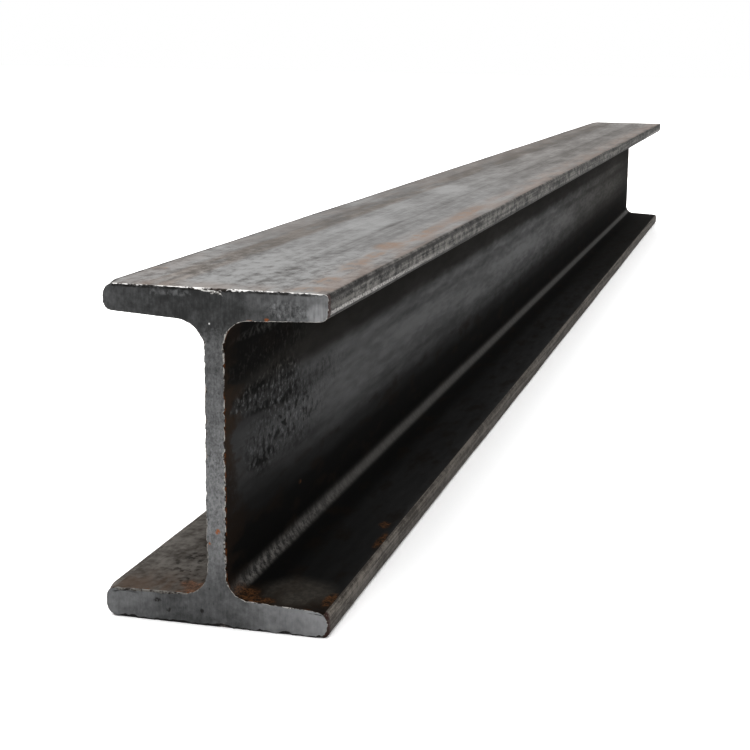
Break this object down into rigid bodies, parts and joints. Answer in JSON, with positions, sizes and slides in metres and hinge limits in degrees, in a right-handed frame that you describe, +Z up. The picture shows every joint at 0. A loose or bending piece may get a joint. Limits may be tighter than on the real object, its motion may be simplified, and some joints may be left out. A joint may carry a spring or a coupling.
{
  "type": "steel i-beam",
  "caption": "Short length of hot-rolled steel I-section, with slightly tapered flanges, rounded toes, root fillets and square sawn ends.",
  "frame": {"origin": "underside of the bottom flange, halfway along the beam and under the web", "axes": "+Z up through the web from the bottom flange to the top flange; Y along the beam; X across the flanges"},
  "size_m": [0.067, 1.2, 0.1],
  "materials": {
    "mill_steel": "hot-rolled mill scale, dark grey with brown rust near the cuts; bare sawn steel on the ends"
  },
  "bodies": {
    "root": {"i_beam": "mill_steel"}
  },
  "joints": []
}
